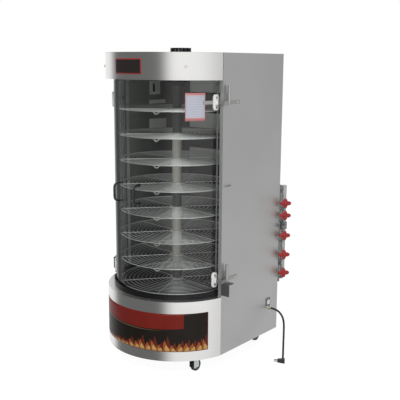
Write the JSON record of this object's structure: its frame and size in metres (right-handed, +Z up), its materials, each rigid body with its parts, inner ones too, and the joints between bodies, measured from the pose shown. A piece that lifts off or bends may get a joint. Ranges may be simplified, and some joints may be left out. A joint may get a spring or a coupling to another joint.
{
  "type": "vertical rotisserie",
  "caption": "Floor-standing gas rotisserie with a half-round glazed front, stacked wire racks on an upright turning shaft, rear burners, side gas valves and casters.",
  "frame": {"origin": "on the floor in the middle of the footprint, measured without the cord and plug", "axes": "+Z up, front towards -Y, +X to the right of someone facing the doors"},
  "size_m": [1.0006, 0.9018, 1.6775],
  "materials": {
    "stainless": "fine brushed stainless sheet",
    "back_sheet": "galvanised sheet",
    "liner_sheet": "heat-dulled stainless sheet",
    "black_enamel": "gloss black enamel",
    "tile": "matt pierced ceramic, darkened by heat",
    "feed_steel": "drawn steel tube",
    "pipe": "galvanised pipe",
    "valve_metal": "nickel-plated brass",
    "red_plastic": "satin red plastic",
    "white_plastic": "satin white plastic",
    "grey_plastic": "matt dark grey plastic",
    "black_rubber": "matt black flexible PVC",
    "plug_plastic": "matt black plastic",
    "machine_paint": "grey machine paint",
    "shaft_steel": "turned steel",
    "chrome_wire": "bright plated wire",
    "glass": "clear curved glass",
    "black_plastic": "satin black phenolic",
    "hinge_metal": "satin stainless",
    "zinc": "zinc-plated pressing",
    "tyre": "black rubber tread"
  },
  "bodies": {
    "cabinet": {"base_floor": "back_sheet", "base_skirt": "stainless", "right_side_panel": "stainless", "left_side_panel": "stainless", "rear_panel": "back_sheet", "top_panel": "stainless", "hood_band": "stainless", "deck_plate": "back_sheet", "chamber_ceiling": "liner_sheet", "side_liners": "liner_sheet", "burner_wall": "liner_sheet", "burner_housings": "liner_sheet", "burner_tiles": "tile", "feed_tubes": "feed_steel", "gas_manifold": "pipe", "valve_bodies": "valve_metal", "gas_inlet": "pipe", "cord_gland": "valve_metal", "power_cord": "black_rubber", "power_plug": "plug_plastic", "switch_housing": "grey_plastic", "motor_bracket": "machine_paint", "gearmotor": "machine_paint", "shaft_bearings": "shaft_steel", "flue_collar": "black_enamel", "drip_tray": "black_enamel", "hinge_brackets": "hinge_metal", "casing_screws": "hinge_metal", "caster_mounts": "zinc"},
    "rotor": {"rotor_shaft": "shaft_steel", "drive_coupling": "shaft_steel", "output_shaft": "shaft_steel", "rack_1": "chrome_wire", "rack_2": "chrome_wire", "rack_3": "chrome_wire", "rack_4": "chrome_wire", "rack_5": "chrome_wire", "rack_6": "chrome_wire", "rack_7": "chrome_wire", "rack_8": "chrome_wire"},
    "right_door": {"right_door_glass": "glass", "right_door_handle": "black_plastic", "right_door_hinge_arms": "hinge_metal"},
    "left_door": {"left_door_glass": "glass", "left_door_handle": "black_plastic", "left_door_hinge_arms": "hinge_metal"},
    "switch_rocker": {"switch_rocker": "white_plastic"},
    "valve_handle_1": {"valve_handle_1": "red_plastic"},
    "valve_handle_2": {"valve_handle_2": "red_plastic"},
    "valve_handle_3": {"valve_handle_3": "red_plastic"},
    "valve_handle_4": {"valve_handle_4": "red_plastic"},
    "valve_handle_5": {"valve_handle_5": "red_plastic"},
    "caster_front_right": {"caster_fork_front_right": "zinc"},
    "wheel_front_right": {"caster_wheel_front_right": "tyre"},
    "caster_front_left": {"caster_fork_front_left": "zinc"},
    "wheel_front_left": {"caster_wheel_front_left": "tyre"},
    "caster_rear_right": {"caster_fork_rear_right": "zinc"},
    "wheel_rear_right": {"caster_wheel_rear_right": "tyre"},
    "caster_rear_left": {"caster_fork_rear_left": "zinc"},
    "wheel_rear_left": {"caster_wheel_rear_left": "tyre"}
  },
  "joints": [
    {"name": "rotor_spin", "type": "hinge", "parent": "cabinet", "child": "rotor", "pos_m": [-0.004, -0.0671, 0.432], "axis": [0, 0, 1], "continuous": true},
    {"name": "right_door_swing", "type": "hinge", "parent": "cabinet", "child": "right_door", "pos_m": [0.381, -0.1211, 0.95], "axis": [0, 0, 1], "range_deg": [0, 110]},
    {"name": "left_door_swing", "type": "hinge", "parent": "cabinet", "child": "left_door", "pos_m": [-0.389, -0.1211, 0.95], "axis": [0, 0, -1], "range_deg": [0, 110]},
    {"name": "switch_rock", "type": "hinge", "parent": "cabinet", "child": "switch_rocker", "pos_m": [0.366, 0.2929, 0.27], "axis": [0, 1, 0], "range_deg": [-8, 8]},
    {"name": "valve_1_turn", "type": "hinge", "parent": "cabinet", "child": "valve_handle_1", "pos_m": [0.367, 0.4289, 0.829], "axis": [0.7071, -0.7071, 0], "range_deg": [0, 90]},
    {"name": "valve_2_turn", "type": "hinge", "parent": "cabinet", "child": "valve_handle_2", "pos_m": [0.367, 0.4289, 0.759], "axis": [0.7071, -0.7071, 0], "range_deg": [0, 90]},
    {"name": "valve_3_turn", "type": "hinge", "parent": "cabinet", "child": "valve_handle_3", "pos_m": [0.367, 0.4289, 0.644], "axis": [0.7071, -0.7071, 0], "range_deg": [0, 90]},
    {"name": "valve_4_turn", "type": "hinge", "parent": "cabinet", "child": "valve_handle_4", "pos_m": [0.367, 0.4289, 0.532], "axis": [0.7071, -0.7071, 0], "range_deg": [0, 90]},
    {"name": "valve_5_turn", "type": "hinge", "parent": "cabinet", "child": "valve_handle_5", "pos_m": [0.367, 0.4289, 0.425], "axis": [0.7071, -0.7071, 0], "range_deg": [0, 90]},
    {"name": "caster_front_right_swivel", "type": "hinge", "parent": "cabinet", "child": "caster_front_right", "pos_m": [0.256, -0.2371, 0.084], "axis": [0, 0, 1], "continuous": true},
    {"name": "wheel_front_right_roll", "type": "hinge", "parent": "caster_front_right", "child": "wheel_front_right", "pos_m": [0.256, -0.2171, 0.032], "axis": [1, 0, 0], "continuous": true},
    {"name": "caster_front_left_swivel", "type": "hinge", "parent": "cabinet", "child": "caster_front_left", "pos_m": [-0.264, -0.2371, 0.084], "axis": [0, 0, 1], "continuous": true},
    {"name": "wheel_front_left_roll", "type": "hinge", "parent": "caster_front_left", "child": "wheel_front_left", "pos_m": [-0.264, -0.2171, 0.032], "axis": [1, 0, 0], "continuous": true},
    {"name": "caster_rear_right_swivel", "type": "hinge", "parent": "cabinet", "child": "caster_rear_right", "pos_m": [0.256, 0.3129, 0.084], "axis": [0, 0, 1], "continuous": true},
    {"name": "wheel_rear_right_roll", "type": "hinge", "parent": "caster_rear_right", "child": "wheel_rear_right", "pos_m": [0.256, 0.3329, 0.032], "axis": [1, 0, 0], "continuous": true},
    {"name": "caster_rear_left_swivel", "type": "hinge", "parent": "cabinet", "child": "caster_rear_left", "pos_m": [-0.264, 0.3129, 0.084], "axis": [0, 0, 1], "continuous": true},
    {"name": "wheel_rear_left_roll", "type": "hinge", "parent": "caster_rear_left", "child": "wheel_rear_left", "pos_m": [-0.264, 0.3329, 0.032], "axis": [1, 0, 0], "continuous": true}
  ]
}
